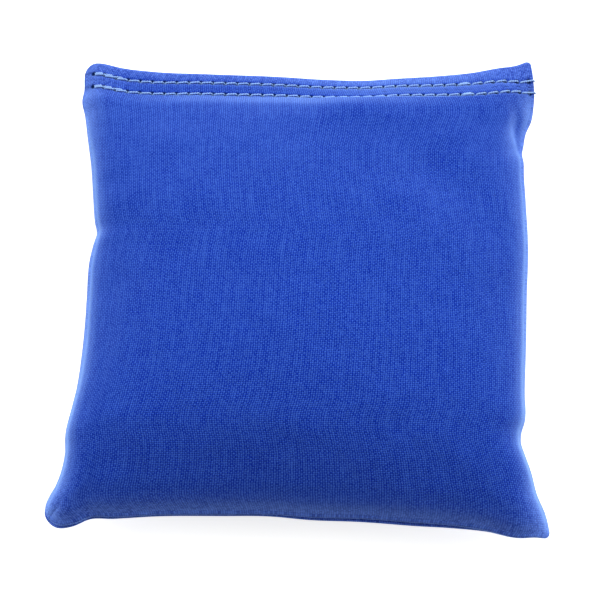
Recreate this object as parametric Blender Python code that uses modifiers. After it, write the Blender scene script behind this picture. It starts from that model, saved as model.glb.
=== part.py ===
"""Toss bean bag: a front and a back panel of canvas, sewn together on three sides and turned right
side out, a mouth closed by two topstitched rows, and loose fill. Metres, +Z up. The bag lies flat,
its mouth towards +Y."""

import math

import bmesh
import bpy
import numpy as np
from mathutils import Matrix, Vector
from mathutils.bvhtree import BVHTree

# Bag, as it lies filled
side = 0.152
seam_height = 0.0150
front_rise = 0.0183
back_drop = 0.0200
mouth_rise = 0.0045

# Canvas and how it is turned in
cloth = 0.00055
layer_gap = 0.00035
panel_gap = 0.0003
seam_allowance = 0.010
mouth_turning = 0.011
mouth_depth = 0.0098
mitre_slope = 1.6
mitre_start_share = 0.4

# Thread and stitches
thread = 0.00036
thread_ease = 0.00006
hole_ease = 0.00010
stitch_pitch = 0.0041
row_insets = (0.0038, 0.0082)
row_end_margin = 0.0030
seam_stitch_inset = 0.0022
seam_corner_cut = 0.0070
seam_point_pitch = 0.0120

# Fill
fill_gap = 0.0003
fill_groove = 0.0055

# Facets
cells_across = 14
cells_along = 12
turn_cells = 3
fill_edge_cells = 2

# How far the outline is drawn in from a true square, as shares of the side,
# at places from -1 to 1 along each side
left_place_shares = (
    -1, -0.9, -0.79, -0.66, -0.4, -0.2, 0.1,
    0.19, 0.3, 0.55, 0.8, 0.95, 1,
)
left_inset_shares = (
    0.022, 0, 0.022, 0.033, 0.053, 0.060, 0.061,
    0.072, 0.064, 0.048, 0.024, 0.030, 0.043,
)
right_place_shares = (
    -1, -0.86, -0.75, -0.63, -0.55, -0.3, -0.07,
    0.2, 0.53, 0.59, 0.7, 0.82, 0.95, 1,
)
right_inset_shares = (
    0.026, 0.047, 0.060, 0.078, 0.066, 0.057, 0.047,
    0.039, 0.037, 0.041, 0.022, 0.004, 0.006, 0.018,
)
mouth_place_shares = (-1, -0.9, -0.8, -0.5, -0.25, 0.2, 0.4, 0.67, 0.8, 0.95, 1)
mouth_inset_shares = (0.001, 0.007, 0.012, 0.023, 0.028, 0.038, 0.036, 0.023, 0.017, 0.004, 0)
foot_place_shares = (-1, -0.93, -0.85, -0.56, -0.28, 0.08, 0.32, 0.56, 0.76, 0.86, 1)
foot_inset_shares = (0.020, 0.026, 0.036, 0.041, 0.041, 0.034, 0.028, 0.019, 0.007, 0.001, 0)

# Height of the front's crown, as shares of its rise: across the bag,
# and along it from the foot seam to the mouth
across_place_shares = (-1, -0.9, -0.75, -0.5, -0.25, -0.05, 0.2, 0.5, 0.75, 0.9, 1)
across_crown_shares = (0, 0.38, 0.64, 0.84, 0.95, 1, 0.94, 0.76, 0.58, 0.36, 0)
along_place_shares = (-1, -0.9, -0.8, -0.64, -0.5, -0.28, 0.07, 0.39, 0.59, 0.8, 1)
along_crown_shares = (0, 0.42, 0.64, 0.86, 0.97, 1, 0.85, 0.64, 0.43, 0.15, 0)
back_fullness = 4
normal_step_share = 0.003

# Colours, linear
cloth_colour = (0.022, 0.065, 0.43, 1)
thread_colour = (0.16, 0.29, 0.80, 1)
fill_colour = (0.62, 0.60, 0.55, 1)

# Worked out from the sizes above
flap_face = panel_gap / 2
body_face = flap_face + 2 * cloth + layer_gap
turn_radius = (body_face - flap_face) / 2
turn_length = math.pi * turn_radius
turn_steps = [turn_length * i / turn_cells for i in range(1, turn_cells + 1)]
half = side / 2 - turn_radius
mouth_line = half - mouth_depth
thread_leg = thread + thread_ease
lock_height = (thread + thread_ease) / 2
hole_radius = thread_leg + math.sqrt(2) * (thread / 2 + hole_ease)
seam_thread_height = flap_face + cloth + thread_ease + thread / 2


def smooth_through(place, places, values):
    """Value at a place on a smooth curve through chosen points."""
    slopes = np.gradient(values, places)
    i = min(max(int(np.searchsorted(places, place)) - 1, 0), len(places) - 2)
    span = places[i + 1] - places[i]
    t = min(max((place - places[i]) / span, 0), 1)
    start = (2 * t**3 - 3 * t**2 + 1) * values[i] + (t**3 - 2 * t**2 + t) * span * slopes[i]
    end = (3 * t**2 - 2 * t**3) * values[i + 1] + (t**3 - t**2) * span * slopes[i + 1]
    return start + end


def mid_point(across, along):
    """Point midway between the panels, where the turned-in edges of both meet."""
    u = across / half
    v = along / half
    left = -half + side * smooth_through(v, left_place_shares, left_inset_shares)
    right = half - side * smooth_through(v, right_place_shares, right_inset_shares)
    foot = -half + side * smooth_through(u, foot_place_shares, foot_inset_shares)
    mouth = half - side * smooth_through(u, mouth_place_shares, mouth_inset_shares)
    ramp = min((along + half) / (mouth_line + half), (half - along) / mouth_depth)
    return Vector((
        left + (right - left) * (1 + u) / 2,
        foot + (mouth - foot) * (1 + v) / 2,
        seam_height + mouth_rise * (1 - u * u) * ramp,
    ))


def normal_of(surface, across, along):
    """Upward normal of a surface that is given as a function of the cloth's two directions."""
    step = normal_step_share * side
    tangent_across = surface(across + step, along) - surface(across - step, along)
    tangent_along = surface(across, along + step) - surface(across, along - step)
    return tangent_across.cross(tangent_along).normalized()


def bulge(facing, across, along):
    """How far the fill pushes a panel away from the middle. The flat band at the mouth isn't pushed."""
    u = min(max(across / half, -1), 1)
    v = min(max(2 * (along + half) / (mouth_line + half) - 1, -1), 1)
    if facing > 0:
        crown_across = smooth_through(u, across_place_shares, across_crown_shares)
        return front_rise * crown_across * smooth_through(v, along_place_shares, along_crown_shares)
    return back_drop * (1 - abs(u) ** back_fullness) * (1 - abs(v) ** back_fullness)


def turned(reach):
    """Where cloth at this reach from the panel's centre lies once its edge is turned in: its place,
    its layer (1 on the body of the panel, 0 on the turned-in flap) and how deep into the flap it is."""
    beyond = abs(reach) - half
    if beyond <= 0:
        return reach, 1, 0
    if beyond <= turn_length:
        angle = math.pi * beyond / turn_length
        place = half + turn_radius * math.sin(angle)
        layer = (1 + math.cos(angle)) / 2
    else:
        place = half - (beyond - turn_length)
        layer = 0
    return math.copysign(place, reach), layer, max(beyond - turn_steps[1], 0)


def mitred(reach, depth):
    """Place along a flap. Its end is cut back by more the deeper it is, so that two flaps don't meet
    in a corner."""
    end_share = max(abs(reach) / half - mitre_start_share, 0) / (1 - mitre_start_share)
    return reach - math.copysign(mitre_slope * depth * end_share, reach)


def outer_point(facing, across, along):
    """Point on the outer face of the front (facing 1) or back (facing -1) panel, sewn and filled."""
    across, layer_across, depth_across = turned(across)
    along, layer_along, depth_along = turned(along)
    across = mitred(across, depth_along)
    along = mitred(along, depth_across)
    layer = min(layer_across, layer_along)
    lift = flap_face + (body_face - flap_face) * layer
    point = mid_point(across, along) + facing * lift * normal_of(mid_point, across, along)
    if layer == 1:
        point.z += facing * bulge(facing, across, along)
    point.z = max(point.z, 0)
    return point


def bunched(start, end, cells):
    """Stations from start to end, closer together towards both."""
    return [start + (end - start) * (1 - math.cos(math.pi * i / cells)) / 2 for i in range(cells + 1)]


def with_turnings(body, flap_low, flap_high):
    """Stations of the body with those of the turned edge and its flap added at both ends."""
    low = turn_steps + [turn_length + depth for depth in flap_low]
    high = turn_steps + [turn_length + depth for depth in flap_high]
    return [-half - step for step in reversed(low)] + body + [half + step for step in high]


body_across = bunched(-half, half, cells_across)
body_along = bunched(-half, mouth_line, cells_along)
panel_across = with_turnings(body_across, [seam_allowance], [seam_allowance])
between_rows = sum(row_insets) / len(row_insets)
panel_along = with_turnings(
    body_along + [half - between_rows, half],
    [seam_allowance],
    [between_rows, mouth_depth, mouth_turning],
)


def material(name, colour, roughness):
    made = bpy.data.materials.new(name)
    made.use_nodes = True
    shader = made.node_tree.nodes["Principled BSDF"]
    shader.inputs["Base Color"].default_value = colour
    shader.inputs["Roughness"].default_value = roughness
    shader.inputs["Metallic"].default_value = 0
    made.diffuse_color = colour
    return made


def add_mesh(name, made, collection):
    """Object from a bmesh, linked into a collection."""
    mesh = bpy.data.meshes.new(name)
    made.to_mesh(mesh)
    made.free()
    added = bpy.data.objects.new(name, mesh)
    collection.objects.link(added)
    return added


def flat_cloth(stations_across, stations_along):
    """Flat rectangle of cloth with a row of points at each station."""
    cut = bmesh.new()
    columns = len(stations_across) - 1
    rows = len(stations_along) - 1
    bmesh.ops.create_grid(cut, x_segments=columns, y_segments=rows, size=1)
    for vert in cut.verts:
        column = round((vert.co.x + 1) / 2 * columns)
        row = round((vert.co.y + 1) / 2 * rows)
        vert.co = (stations_across[column], stations_along[row], 0)
    return cut


def clip_corners(cut):
    """Removes the squares where two allowances cross, but not what closes the turned corner."""
    waste = []
    for face in cut.faces:
        centre = face.calc_center_median()
        nearer, farther = sorted((abs(centre.x), abs(centre.y)))
        past_fold = nearer > half and farther > half + turn_steps[1]
        if past_fold or nearer > half + turn_steps[0]:
            waste.append(face)
    bmesh.ops.delete(cut, geom=waste, context="FACES")


def add_panel(name, facing, cutter, collection):
    """One panel: cut flat, corners clipped, edges turned in, filled out, then pierced by the needle."""
    cut = flat_cloth(panel_across, panel_along)
    clip_corners(cut)
    for vert in cut.verts:
        vert.co = outer_point(facing, vert.co.x, vert.co.y)
    bmesh.ops.remove_doubles(cut, verts=cut.verts, dist=layer_gap / 10)
    bmesh.ops.triangulate(cut, faces=cut.faces, quad_method="SHORT_EDGE")
    if facing < 0:
        bmesh.ops.reverse_faces(cut, faces=cut.faces)
    outer_face = BVHTree.FromBMesh(cut)
    panel = add_mesh(name, cut, collection)
    wall = panel.modifiers.new("Cloth thickness", "SOLIDIFY")
    wall.thickness = cloth
    wall.offset = -1
    pierced = panel.modifiers.new("Needle holes", "BOOLEAN")
    pierced.operation = "DIFFERENCE"
    pierced.solver = "EXACT"
    pierced.object = cutter
    return panel, outer_face


def hole_places(row_inset):
    """Where the needle went through along one row."""
    first = -half + row_end_margin
    last = half - row_end_margin
    stitches = round((last - first) / stitch_pitch)
    return [(first + (last - first) * i / stitches, half - row_inset) for i in range(stitches + 1)]


def off_middle(across, along, height):
    """Point at a height over the surface where the panels meet."""
    return mid_point(across, along) + height * normal_of(mid_point, across, along)


def on_cloth(outer_face, facing, across, along):
    """Middle of a thread that lies on the outer face of a panel."""
    outward = facing * normal_of(mid_point, across, along)
    start = off_middle(across, along, 0) + 2 * body_face * outward
    return outer_face.ray_cast(start, -outward)[0] + (thread_ease + thread / 2) * outward


def add_needle_holes(collection):
    """One cutter for all needle holes: a square prism on each, its corners along and across the row."""
    cut = bmesh.new()
    for row_inset in row_insets:
        for across, along in hole_places(row_inset):
            upright = normal_of(mid_point, across, along)
            turn = Vector((0, 0, 1)).rotation_difference(upright).to_matrix().to_4x4()
            bmesh.ops.create_cone(
                cut,
                cap_ends=True,
                segments=4,
                radius1=hole_radius,
                radius2=hole_radius,
                depth=4 * body_face,
                matrix=Matrix.Translation(mid_point(across, along)) @ turn,
            )
    cutter = add_mesh("needle_holes_cutter", cut, collection)
    cutter.hide_render = True
    cutter.display_type = "WIRE"
    return cutter


def stitch_route(row_inset, facing, outer_face):
    """Route of one thread of a lockstitch row. The needle thread goes down and up side by side along
    the row, the bobbin thread up and down side by side across it, and in every hole each hooks round
    the other."""
    leg_across, leg_along = (thread_leg, 0) if facing > 0 else (0, thread_leg)
    hook_height = -facing * lock_height
    route = []
    for across, along in hole_places(row_inset):
        for way in (-1, 1):
            at = (across + way * leg_across, along + way * leg_along)
            leg = [on_cloth(outer_face, facing, *at), off_middle(*at, hook_height)]
            route += leg[::-way]
    return route


def seam_route(facing):
    """Route of one thread of the seam round both sides and the foot, inside an allowance."""
    reach = half - seam_stitch_inset
    turn = reach - seam_corner_cut
    top = mouth_line - seam_corner_cut
    left_side = ((-reach, top), (-reach, -turn), (-turn, -reach))
    right_side = ((turn, -reach), (reach, -turn), (reach, top))
    corners = left_side + right_side
    route = []
    for start, end in zip(corners, corners[1:]):
        length = math.dist(start, end)
        steps = math.ceil(length / seam_point_pitch)
        for i in range(steps):
            across = start[0] + (end[0] - start[0]) * i / steps
            along = start[1] + (end[1] - start[1]) * i / steps
            route.append(off_middle(across, along, facing * seam_thread_height))
    route.append(off_middle(*corners[-1], facing * seam_thread_height))
    return route


def add_thread(name, route, collection):
    curve = bpy.data.curves.new(name, "CURVE")
    curve.dimensions = "3D"
    curve.bevel_depth = thread / 2
    curve.bevel_resolution = 0
    curve.use_fill_caps = True
    curve.render_resolution_u = 0
    spline = curve.splines.new("POLY")
    spline.points.add(len(route) - 1)
    for point, place in zip(spline.points, route):
        point.co = (*place, 1)
    laid = bpy.data.objects.new(name, curve)
    collection.objects.link(laid)
    return laid


def fill_point(facing, across, along):
    """Point on the fill's skin, one fill gap inside a panel."""
    def panel_face(at_across, at_along):
        return outer_point(facing, at_across, at_along)
    inward = -facing * normal_of(panel_face, across, along)
    return panel_face(across, along) + (cloth + fill_gap) * inward


def add_fill(collection):
    """Loose fill as one mass: two skins that meet in a groove at the edge, clear of the allowances."""
    skin_across = body_across[fill_edge_cells:-fill_edge_cells]
    skin_along = body_along[fill_edge_cells:-fill_edge_cells]
    rim_across = [skin_across[0] + fill_groove] + skin_across + [skin_across[-1] - fill_groove]
    rim_along = [skin_along[0] + fill_groove] + skin_along + [skin_along[-1] - fill_groove]
    heap = bmesh.new()
    for facing in (1, -1):
        columns = len(rim_across) - 1
        rows = len(rim_along) - 1
        skin = bmesh.ops.create_grid(heap, x_segments=columns, y_segments=rows, size=1)["verts"]
        for vert in skin:
            column = round((vert.co.x + 1) / 2 * columns)
            row = round((vert.co.y + 1) / 2 * rows)
            across, along = rim_across[column], rim_along[row]
            if column in (0, columns) or row in (0, rows):
                across = min(max(across, rim_across[0]), rim_across[-1])
                along = min(max(along, rim_along[0]), rim_along[-1])
                vert.co = mid_point(across, along)
            else:
                vert.co = fill_point(facing, across, along)
        if facing < 0:
            bmesh.ops.reverse_faces(heap, faces=list({face for vert in skin for face in vert.link_faces}))
    bmesh.ops.remove_doubles(heap, verts=heap.verts, dist=fill_gap / 10)
    bmesh.ops.triangulate(heap, faces=heap.faces, quad_method="SHORT_EDGE")
    return add_mesh("fill", heap, collection)


def main():
    for old in list(bpy.data.objects):
        bpy.data.objects.remove(old)
    bag = bpy.data.collections.new("toss_bean_bag")
    cutters = bpy.data.collections.new("cutters")
    for collection in (bag, cutters):
        bpy.context.scene.collection.children.link(collection)

    canvas = material("blue canvas", cloth_colour, 0.85)
    stitching = material("light blue thread", thread_colour, 0.5)
    pellets = material("fill pellets", fill_colour, 0.6)

    cutter = add_needle_holes(cutters)
    add_fill(bag).data.materials.append(pellets)
    for name, kind, facing in (("front_panel", "needle", 1), ("back_panel", "bobbin", -1)):
        panel, outer_face = add_panel(name, facing, cutter, bag)
        panel.data.materials.append(canvas)
        for row, row_inset in zip(("outer", "inner"), row_insets):
            route = stitch_route(row_inset, facing, outer_face)
            add_thread(f"mouth_{row}_row_{kind}_thread", route, bag).data.materials.append(stitching)
        add_thread(f"side_seam_{kind}_thread", seam_route(facing), bag).data.materials.append(stitching)

    for part in bag.objects:
        if part.type == "MESH":
            part.data.shade_smooth()


if __name__ == "__main__":
    main()
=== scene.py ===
"""Toss bean bag: a front and a back panel of blue canvas, sewn on three sides, a mouth closed by two
topstitched rows, and loose pellets inside. Laid out as a Blender add-on and run as a script. Metres."""

import math

import bpy
import numpy as np
from bpy.props import FloatProperty, FloatVectorProperty, IntProperty, PointerProperty
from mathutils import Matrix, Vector, noise


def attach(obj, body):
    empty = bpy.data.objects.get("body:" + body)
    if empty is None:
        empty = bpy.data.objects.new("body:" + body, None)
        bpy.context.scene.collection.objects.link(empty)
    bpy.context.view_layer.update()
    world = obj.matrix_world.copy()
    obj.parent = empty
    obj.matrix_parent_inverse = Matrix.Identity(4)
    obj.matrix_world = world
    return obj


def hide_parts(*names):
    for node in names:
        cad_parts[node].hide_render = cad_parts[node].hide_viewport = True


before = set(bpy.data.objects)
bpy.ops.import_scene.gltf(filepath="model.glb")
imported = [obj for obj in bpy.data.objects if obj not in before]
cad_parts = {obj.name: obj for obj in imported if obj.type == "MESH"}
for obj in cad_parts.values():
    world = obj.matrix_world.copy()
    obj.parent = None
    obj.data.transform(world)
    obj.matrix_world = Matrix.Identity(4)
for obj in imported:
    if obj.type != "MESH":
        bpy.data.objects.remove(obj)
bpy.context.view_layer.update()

bl_info = {
    "name": "Toss Bean Bag",
    "version": (1, 0, 0),
    "blender": (4, 5, 0),
    "location": "View3D > Sidebar > Bean Bag",
    "description": "Builds a canvas toss bean bag with a topstitched mouth",
    "category": "Add Mesh",
}

# Outline of the sewn bag. Each pair is a place from -1 to 1 along a side, and how far the seam lies
# inside a true square there, as a share of the side.
LEFT_SEAM = (
    (-1, -0.0040), (-0.95, -0.0047), (-0.9, 0.0038), (-0.86, 0.0148), (-0.8, 0.0263), (-0.72, 0.0340),
    (-0.65, 0.0331), (-0.55, 0.0429), (-0.45, 0.0527), (-0.3, 0.0597), (-0.1, 0.0612), (0.08, 0.0627),
    (0.15, 0.0689), (0.19, 0.0735), (0.24, 0.0679), (0.34, 0.0612), (0.5, 0.0512), (0.65, 0.0374),
    (0.76, 0.0270), (0.83, 0.0189), (0.88, 0.0222), (0.94, 0.0216), (1, 0.0245),
)
RIGHT_SEAM = (
    (-1, 0.0210), (-0.92, 0.0287), (-0.84, 0.0453), (-0.76, 0.0567), (-0.69, 0.0690), (-0.65, 0.0751),
    (-0.61, 0.0742), (-0.56, 0.0659), (-0.45, 0.0633), (-0.25, 0.0552), (-0.05, 0.0475), (0.15, 0.0381),
    (0.35, 0.0362), (0.48, 0.0360), (0.54, 0.0338), (0.58, 0.0344), (0.63, 0.0273), (0.7, 0.0174),
    (0.77, 0.0011), (0.86, -0.0030), (0.94, 0.0029), (1, 0.0059),
)
MOUTH_EDGE = (
    (-1, -0.0060), (-0.94, 0.0002), (-0.86, 0.0123), (-0.7, 0.0235), (-0.45, 0.0294), (-0.15, 0.0353),
    (0.1, 0.0432), (0.25, 0.0451), (0.4, 0.0401), (0.6, 0.0336), (0.75, 0.0256), (0.86, 0.0151),
    (0.95, 0.0080), (1, -0.0015),
)
FOOT_SEAM = (
    (-1, 0.0207), (-0.94, 0.0204), (-0.88, 0.0244), (-0.82, 0.0362), (-0.72, 0.0369), (-0.55, 0.0408),
    (-0.3, 0.0417), (-0.1, 0.0416), (0.05, 0.0363), (0.25, 0.0338), (0.45, 0.0269), (0.62, 0.0206),
    (0.75, 0.0107), (0.86, -0.0020), (0.94, -0.0014), (1, -0.0036),
)

# How round each corner turned out, as a share of half a side, by its directions across and along.
CORNER_ROUNDNESS = {(-1, -1): 0.082, (1, -1): 0.018, (-1, 1): 0.048, (1, 1): 0.014}

# How much further out than the front the back panel's fold lies, as shares of the side.
BACK_PEEK_LEFT = ((-1, 0.004), (-0.7, 0.003), (-0.3, 0.004), (0, 0.001), (0.6, 0), (1, 0))
BACK_PEEK_FOOT = ((-1, 0.006), (-0.7, 0.003), (-0.2, 0.003), (0.3, 0.006), (0.6, 0.005), (0.8, 0), (1, 0))

# Height of the front's crown as shares of its rise, across the bag and from the foot to the hem.
CROWN_ACROSS = (
    (-1, 0), (-0.98, 0.17), (-0.95, 0.31), (-0.91, 0.42), (-0.86, 0.51), (-0.75, 0.66), (-0.5, 0.84),
    (-0.25, 0.95), (-0.05, 1), (0.2, 0.95), (0.5, 0.79), (0.75, 0.62), (0.86, 0.49), (0.91, 0.41),
    (0.95, 0.30), (0.98, 0.165), (1, 0),
)
CROWN_ALONG = (
    (-1, 0), (-0.96, 0.20), (-0.9, 0.385), (-0.8, 0.60), (-0.64, 0.85), (-0.5, 0.96), (-0.28, 1),
    (0.07, 0.88), (0.39, 0.69), (0.59, 0.53), (0.8, 0.33), (0.9, 0.213), (0.95, 0.128), (0.975, 0.062),
    (0.99, 0.02), (1, 0),
)

# How much lower the crown is beside the hem at the bag's sides than in its middle, as shares of its rise.
LOWER_BY_HEM = (
    (-1, 0), (0.5, 0), (0.8, 0.04), (0.9, 0.05), (0.95, 0.035), (0.975, 0.02), (0.99, 0.01), (1, 0),
)

# How much less full than the sides' middles the ends of the crown are, as powers of the shares across.
LEFT_FULLNESS = (
    (-1, 0.62), (-0.6, 0.75), (-0.2, 1), (0.15, 1), (0.3, 0.8), (0.6, 0.8), (0.8, 1), (1, 1.1),
)
RIGHT_FULLNESS = ((-1, 0.60), (-0.6, 0.75), (-0.1, 1), (0.5, 1.05), (0.7, 1.25), (1, 1.4))

# How far the unfilled corners droop along each side, as shares of the corner droop.
LEFT_DROOP = ((-1, 1), (-0.88, 0.9), (-0.72, 0.2), (-0.6, 0), (0.3, 0), (0.6, 0.5), (0.8, 1), (1, 0.8))
RIGHT_DROOP = (
    (-1, 1.5), (-0.88, 1.2), (-0.72, 0.2), (-0.6, 0), (0.3, 0), (0.55, 0.3), (0.68, 1.4), (0.8, 1.7),
    (0.88, 0.7), (0.93, 0.1), (1, 0),
)

# Valley round the filled body near the right end of the mouth: middle of its arc, radius and width of the
# valley, and the way it faces in radians with its spread. Places on the cloth.
VALLEY_MIDDLE = (0.37, 0.14)
VALLEY_RADIUS = 0.38
VALLEY_WIDTH = 0.13
VALLEY_WAY = 0.8
VALLEY_SPREAD = 0.7

# How far the hem is lifted where the filled body begins, as shares of the mouth rise, and the power by
# which the lift fades towards the foot.
LIFT_POWER = 3
MOUTH_LIFT = (
    (-1, 0), (-0.92, 0.28), (-0.75, 0.36), (-0.3, 0.45), (0.05, 0.75), (0.3, 1), (0.55, 1), (0.75, 0.9),
    (0.9, 0.45), (1, 0),
)

# How far the filled body hangs over the inner row of stitches along the hem, as shares of the overhang.
OVERHANG_ALONG_HEM = (
    (-1, 0), (-0.5, 0.05), (-0.1, 0.1), (0.02, 0.35), (0.1, 0.9), (0.19, 1), (0.28, 0.9), (0.38, 0.4),
    (0.6, 0.15), (1, 0),
)

# Short creases: place across and along, way it runs in radians, half length and half width on the cloth,
# and height in metres. One rises from the left side's notch, one sinks in the right corner and one, only
# slightly, over the notch.
CREASES = (
    (-0.92, 0.17, 0.0, 0.14, 0.045, 0.0005),
    (0.935, 0.735, -1.2, 0.07, 0.022, -0.0009),
    (-0.86, 0.42, 0.3, 0.16, 0.05, -0.0003),
)

# Corners that the fill doesn't reach: how far inside the seam it ends, as a share of half a side.
LEFT_EAR = ((0.5, 0), (0.85, 0), (0.95, 0.02), (1, 0.04))
RIGHT_EAR = ((0.57, 0), (0.64, 0.033), (0.70, 0.065), (0.76, 0.10), (0.85, 0.12), (1, 0.13))

# Outer stitch row's distance from the mouth's edge, in metres.
OUTER_ROW = (
    (-1, 0.0035), (-0.85, 0.0039), (-0.45, 0.0033), (0, 0.0033), (0.35, 0.0033), (0.6, 0.0041),
    (0.93, 0.0056), (1, 0.0064),
)

# Spacing of the two rows along the hem, as shares of the row spacing.
ROW_SPACING_ALONG_HEM = ((-1, 1), (0.6, 1), (0.75, 1), (0.82, 0.96), (0.95, 0.74), (1, 0.7))

# Metres of cloth across the whole of its UV map.
CLOTH_MAP_SPAN = 0.2

# Middle of what runs from 0 to 1: a map, a noise, a chance, a stitch.
MIDDLE = 0.5

# Where the needle went in along a row, counted in stitches from the left. The machine sews back over
# itself at the left end and near the right one. The last stitch is never shorter than a share of one.
BACKTACK_LEFT = (2.6, 1.75, 0.9, 0.1, 1.0)
PLAIN_HOLES = range(2, 32)
BACKTACK_RIGHT = (30.15, 31.2)
SHORTEST_STITCH_SHARE = 0.4

# A stitch sewn over others: how far beside the row it lies in metres, how much higher it lies as a share
# of the thread, and how much of both the next stitch loses.
OVERSEWN_ASIDE = 0.00022
OVERSEWN_RISE_SHARE = 0.1
OVERSEWN_LOSS_SHARE = 0.34

# A stitch's height over the cloth as a share of the thread, the share of the row's groove that it sinks
# into, the share of its length in which it comes out of a hole, and how many dimples deep it goes there.
THREAD_HEIGHT_SHARE = 0.4
SUNK_SHARE = 0.5
OUT_OF_HOLE_SHARE = 0.19
DIMPLES_DEEP = 2

# Directions in which the rows' last stitch lies round the right fold, in radians from upright.
ROUND_FOLD = (0.3, 0.7, 1.1, math.pi / 2)

# The side seam's stitches: how far they dip at their holes as a share of the thread, and how sharply.
SEAM_DIP_SHARE = 0.8
SEAM_DIP_POWER = 8

# A groove's half width as a share of a needle hole's radius.
GROOVE_WIDTH_SHARE = 1.6

# A strand of the thread: its radius and distance from the middle as shares of the thread, and its sides.
STRAND_RADIUS_SHARE = 0.27
STRAND_OFF_MIDDLE_SHARE = 0.23
STRAND_SIDES = 6

# Rows of faces in the turn of a panel's fold, and where its allowance has rows, as shares of its depth.
TURN_STEPS = 8
ALLOWANCE_SHARES = (0.3, 0.65, 1)

# Lumps of the front over the loose fill: height in metres, counts across half the bag, strength of the
# finer ones, and how far from the hem and from the seams they begin, as shares of half a side.
LUMP_HEIGHT = 0.00022
LUMPS = 7
FINE_LUMPS = 17
FINE_LUMPS_SHARE = 0.5
FINE_LUMPS_LAYER = 3
LUMPS_FROM_HEM_SHARE = 0.15
LUMPS_FROM_SEAM_SHARE = 0.1

# Width in metres of the finely meshed border, and of the softer turn from the underside to the floor.
FINE_BORDER = 0.004
FLOOR_TURN = 0.0015

# Rounds in which a place under a point is found, the step over which a normal is measured, as a share of
# half a side, and what counts as nothing.
PLACING_ROUNDS = 6
NORMAL_STEP_SHARE = 0.004
TINY = 1e-9

# The pellets' looseness as a share of their spacing, and the seeds of their places and turns.
LOOSENESS_SHARE = 0.02
PLACE_SEED = 7
TURN_SEED = 11

# Weave: noise in which the yarns drift, the stretch of the slubs along their yarn, a yarn's mean height,
# and the weights of the warp's and the weft's ribs and of the crossings in the painted highlight and shade,
# and of each crossing's own random tone.
YARN_DRIFT_SCALE = 90
YARN_DRIFT_DETAIL = 3
SLUB_STRETCH = (300, 12, 1)
MEAN_YARN = 0.64
WARP_WEIGHT = 1.05
WEFT_WEIGHT = 0.7
CROSSING_WEIGHT = 0.38
UNEVEN_WEIGHT = 0.45

# Rubbing and painted sheen on the folds: how fast they fade, and their least and further strength at a
# crossing.
RUB_AND_SHEEN_POWER = 1.5
LEAST_RUB_AND_SHEEN = 0.4
CHANCE_RUB_AND_SHEEN = 1.2

# Shade at a row of stitches: reach in stitches, and strength in the holes and along the groove.
HOLE_REACH = 0.26
HOLE_SHADE = 2.2
GROOVE_SHADE = 0.3

# Noise scales of the thread's and the pellets' unevenness, per metre, and how rough the smoothest pellet
# is and how much rougher the roughest one.
THREAD_NOISE = 2500
PELLET_NOISE = 180
LEAST_PELLET_ROUGHNESS = 0.24
MORE_PELLET_ROUGHNESS = 0.4

# Floor: size in metres, colour, and the white that it shows the camera, weaker beside the bag and growing
# with the distance from it.
FLOOR_SIZE = 6
FLOOR_COLOUR = (0.9, 0.9, 0.9, 1)
FLOOR_GLOW_COLOUR = (1, 0.995, 0.955, 1)
GLOW_BY_BAG = 0.72
GLOW_PER_METRE = 0.45

# Light from all round, and the square lamps: size in metres, then name, place and watts.
WORLD_LIGHT = 0.165
LAMP_SIZE = 0.7
LAMPS = (
    ("high back softbox", (0, 0.7, 1.0), 3.6),
    ("low back softbox", (0, 0.95, 0.62), 4.7),
    ("left softbox", (-0.95, 0.28, 0.5), 7.4),
    ("right softbox", (0.95, 0.28, 0.5), 8.9),
)

# Camera: places in metres, lens and sensor in millimetres.
CAMERA_PLACE = (-0.0011, -0.0757, 0.2922)
CAMERA_TARGET = (-0.0011, -0.0104, 0.0365)
CAMERA_LENS = 55.45
CAMERA_SENSOR = 36
CAMERA_CLIP = 0.01


def length(name, default, description):
    """A size in metres that a user may change."""
    return FloatProperty(name=name, default=default, description=description, unit="LENGTH")


def number(name, default, description):
    """A share, power or strength that a user may change."""
    return FloatProperty(name=name, default=default, description=description)


def colour(name, default, description):
    """A colour that a user may change."""
    return FloatVectorProperty(name=name, default=default, description=description, subtype="COLOR", size=3)


class BagSizes(bpy.types.PropertyGroup):
    """Sizes of the sewn and filled bag."""

    side: length("Side", 0.152, "Length of a side of the square bag")
    seam_height: length("Seam height", 0.015, "Height of the side seams")
    front_rise: length("Front rise", 0.0183, "How far the fill lifts the front over the seams")
    back_drop: length("Back drop", 0.020, "How far the back would sag under the seams")
    mouth_rise: length("Mouth rise", 0.0042, "How far the hem is lifted")
    overhang: length("Overhang", 0.0017, "Most that the filled body hangs over the hem")
    overhang_start: length("Overhang start", 0.0004, "Cloth that turns up beside the hem")
    overhang_reach: length("Overhang reach", 0.0100, "How far into the body the overhang runs out")
    back_fullness: number("Back fullness", 4, "How square the back bulges")
    corner_droop: length("Corner droop", 0.0035, "How far the corners beside the mouth droop")
    droop_share: number("Droop share", 0.14, "Share of half the bag that droops")
    valley_depth: length("Valley depth", 0.0014, "Depth of the valley round the fill")


class ClothSizes(bpy.types.PropertyGroup):
    """The canvas, how its edges are turned in, and how finely it is meshed."""

    cloth: length("Cloth", 0.00055, "Thickness of the canvas")
    layer_gap: length("Layer gap", 0.00035, "Air between a panel and its own turned-in edge")
    panel_gap: length("Panel gap", 0.0003, "Air between the front's and the back's edges")
    allowance: length("Allowance", 0.0105, "Depth of the turned-in edges")
    pitch_across: length("Pitch across", 0.00056, "Spacing of the mesh across the bag")
    pitch_along: length("Pitch along", 0.00100, "Spacing of the mesh along the bag")
    fine_pitch: length("Fine pitch", 0.00030, "Spacing of the mesh at the hem and the seams")
    steepest_lean: FloatProperty(
        name="Steepest lean", default=1.1, description="How steeply the canvas may run into its fold",
        unit="ROTATION",
    )


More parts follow.
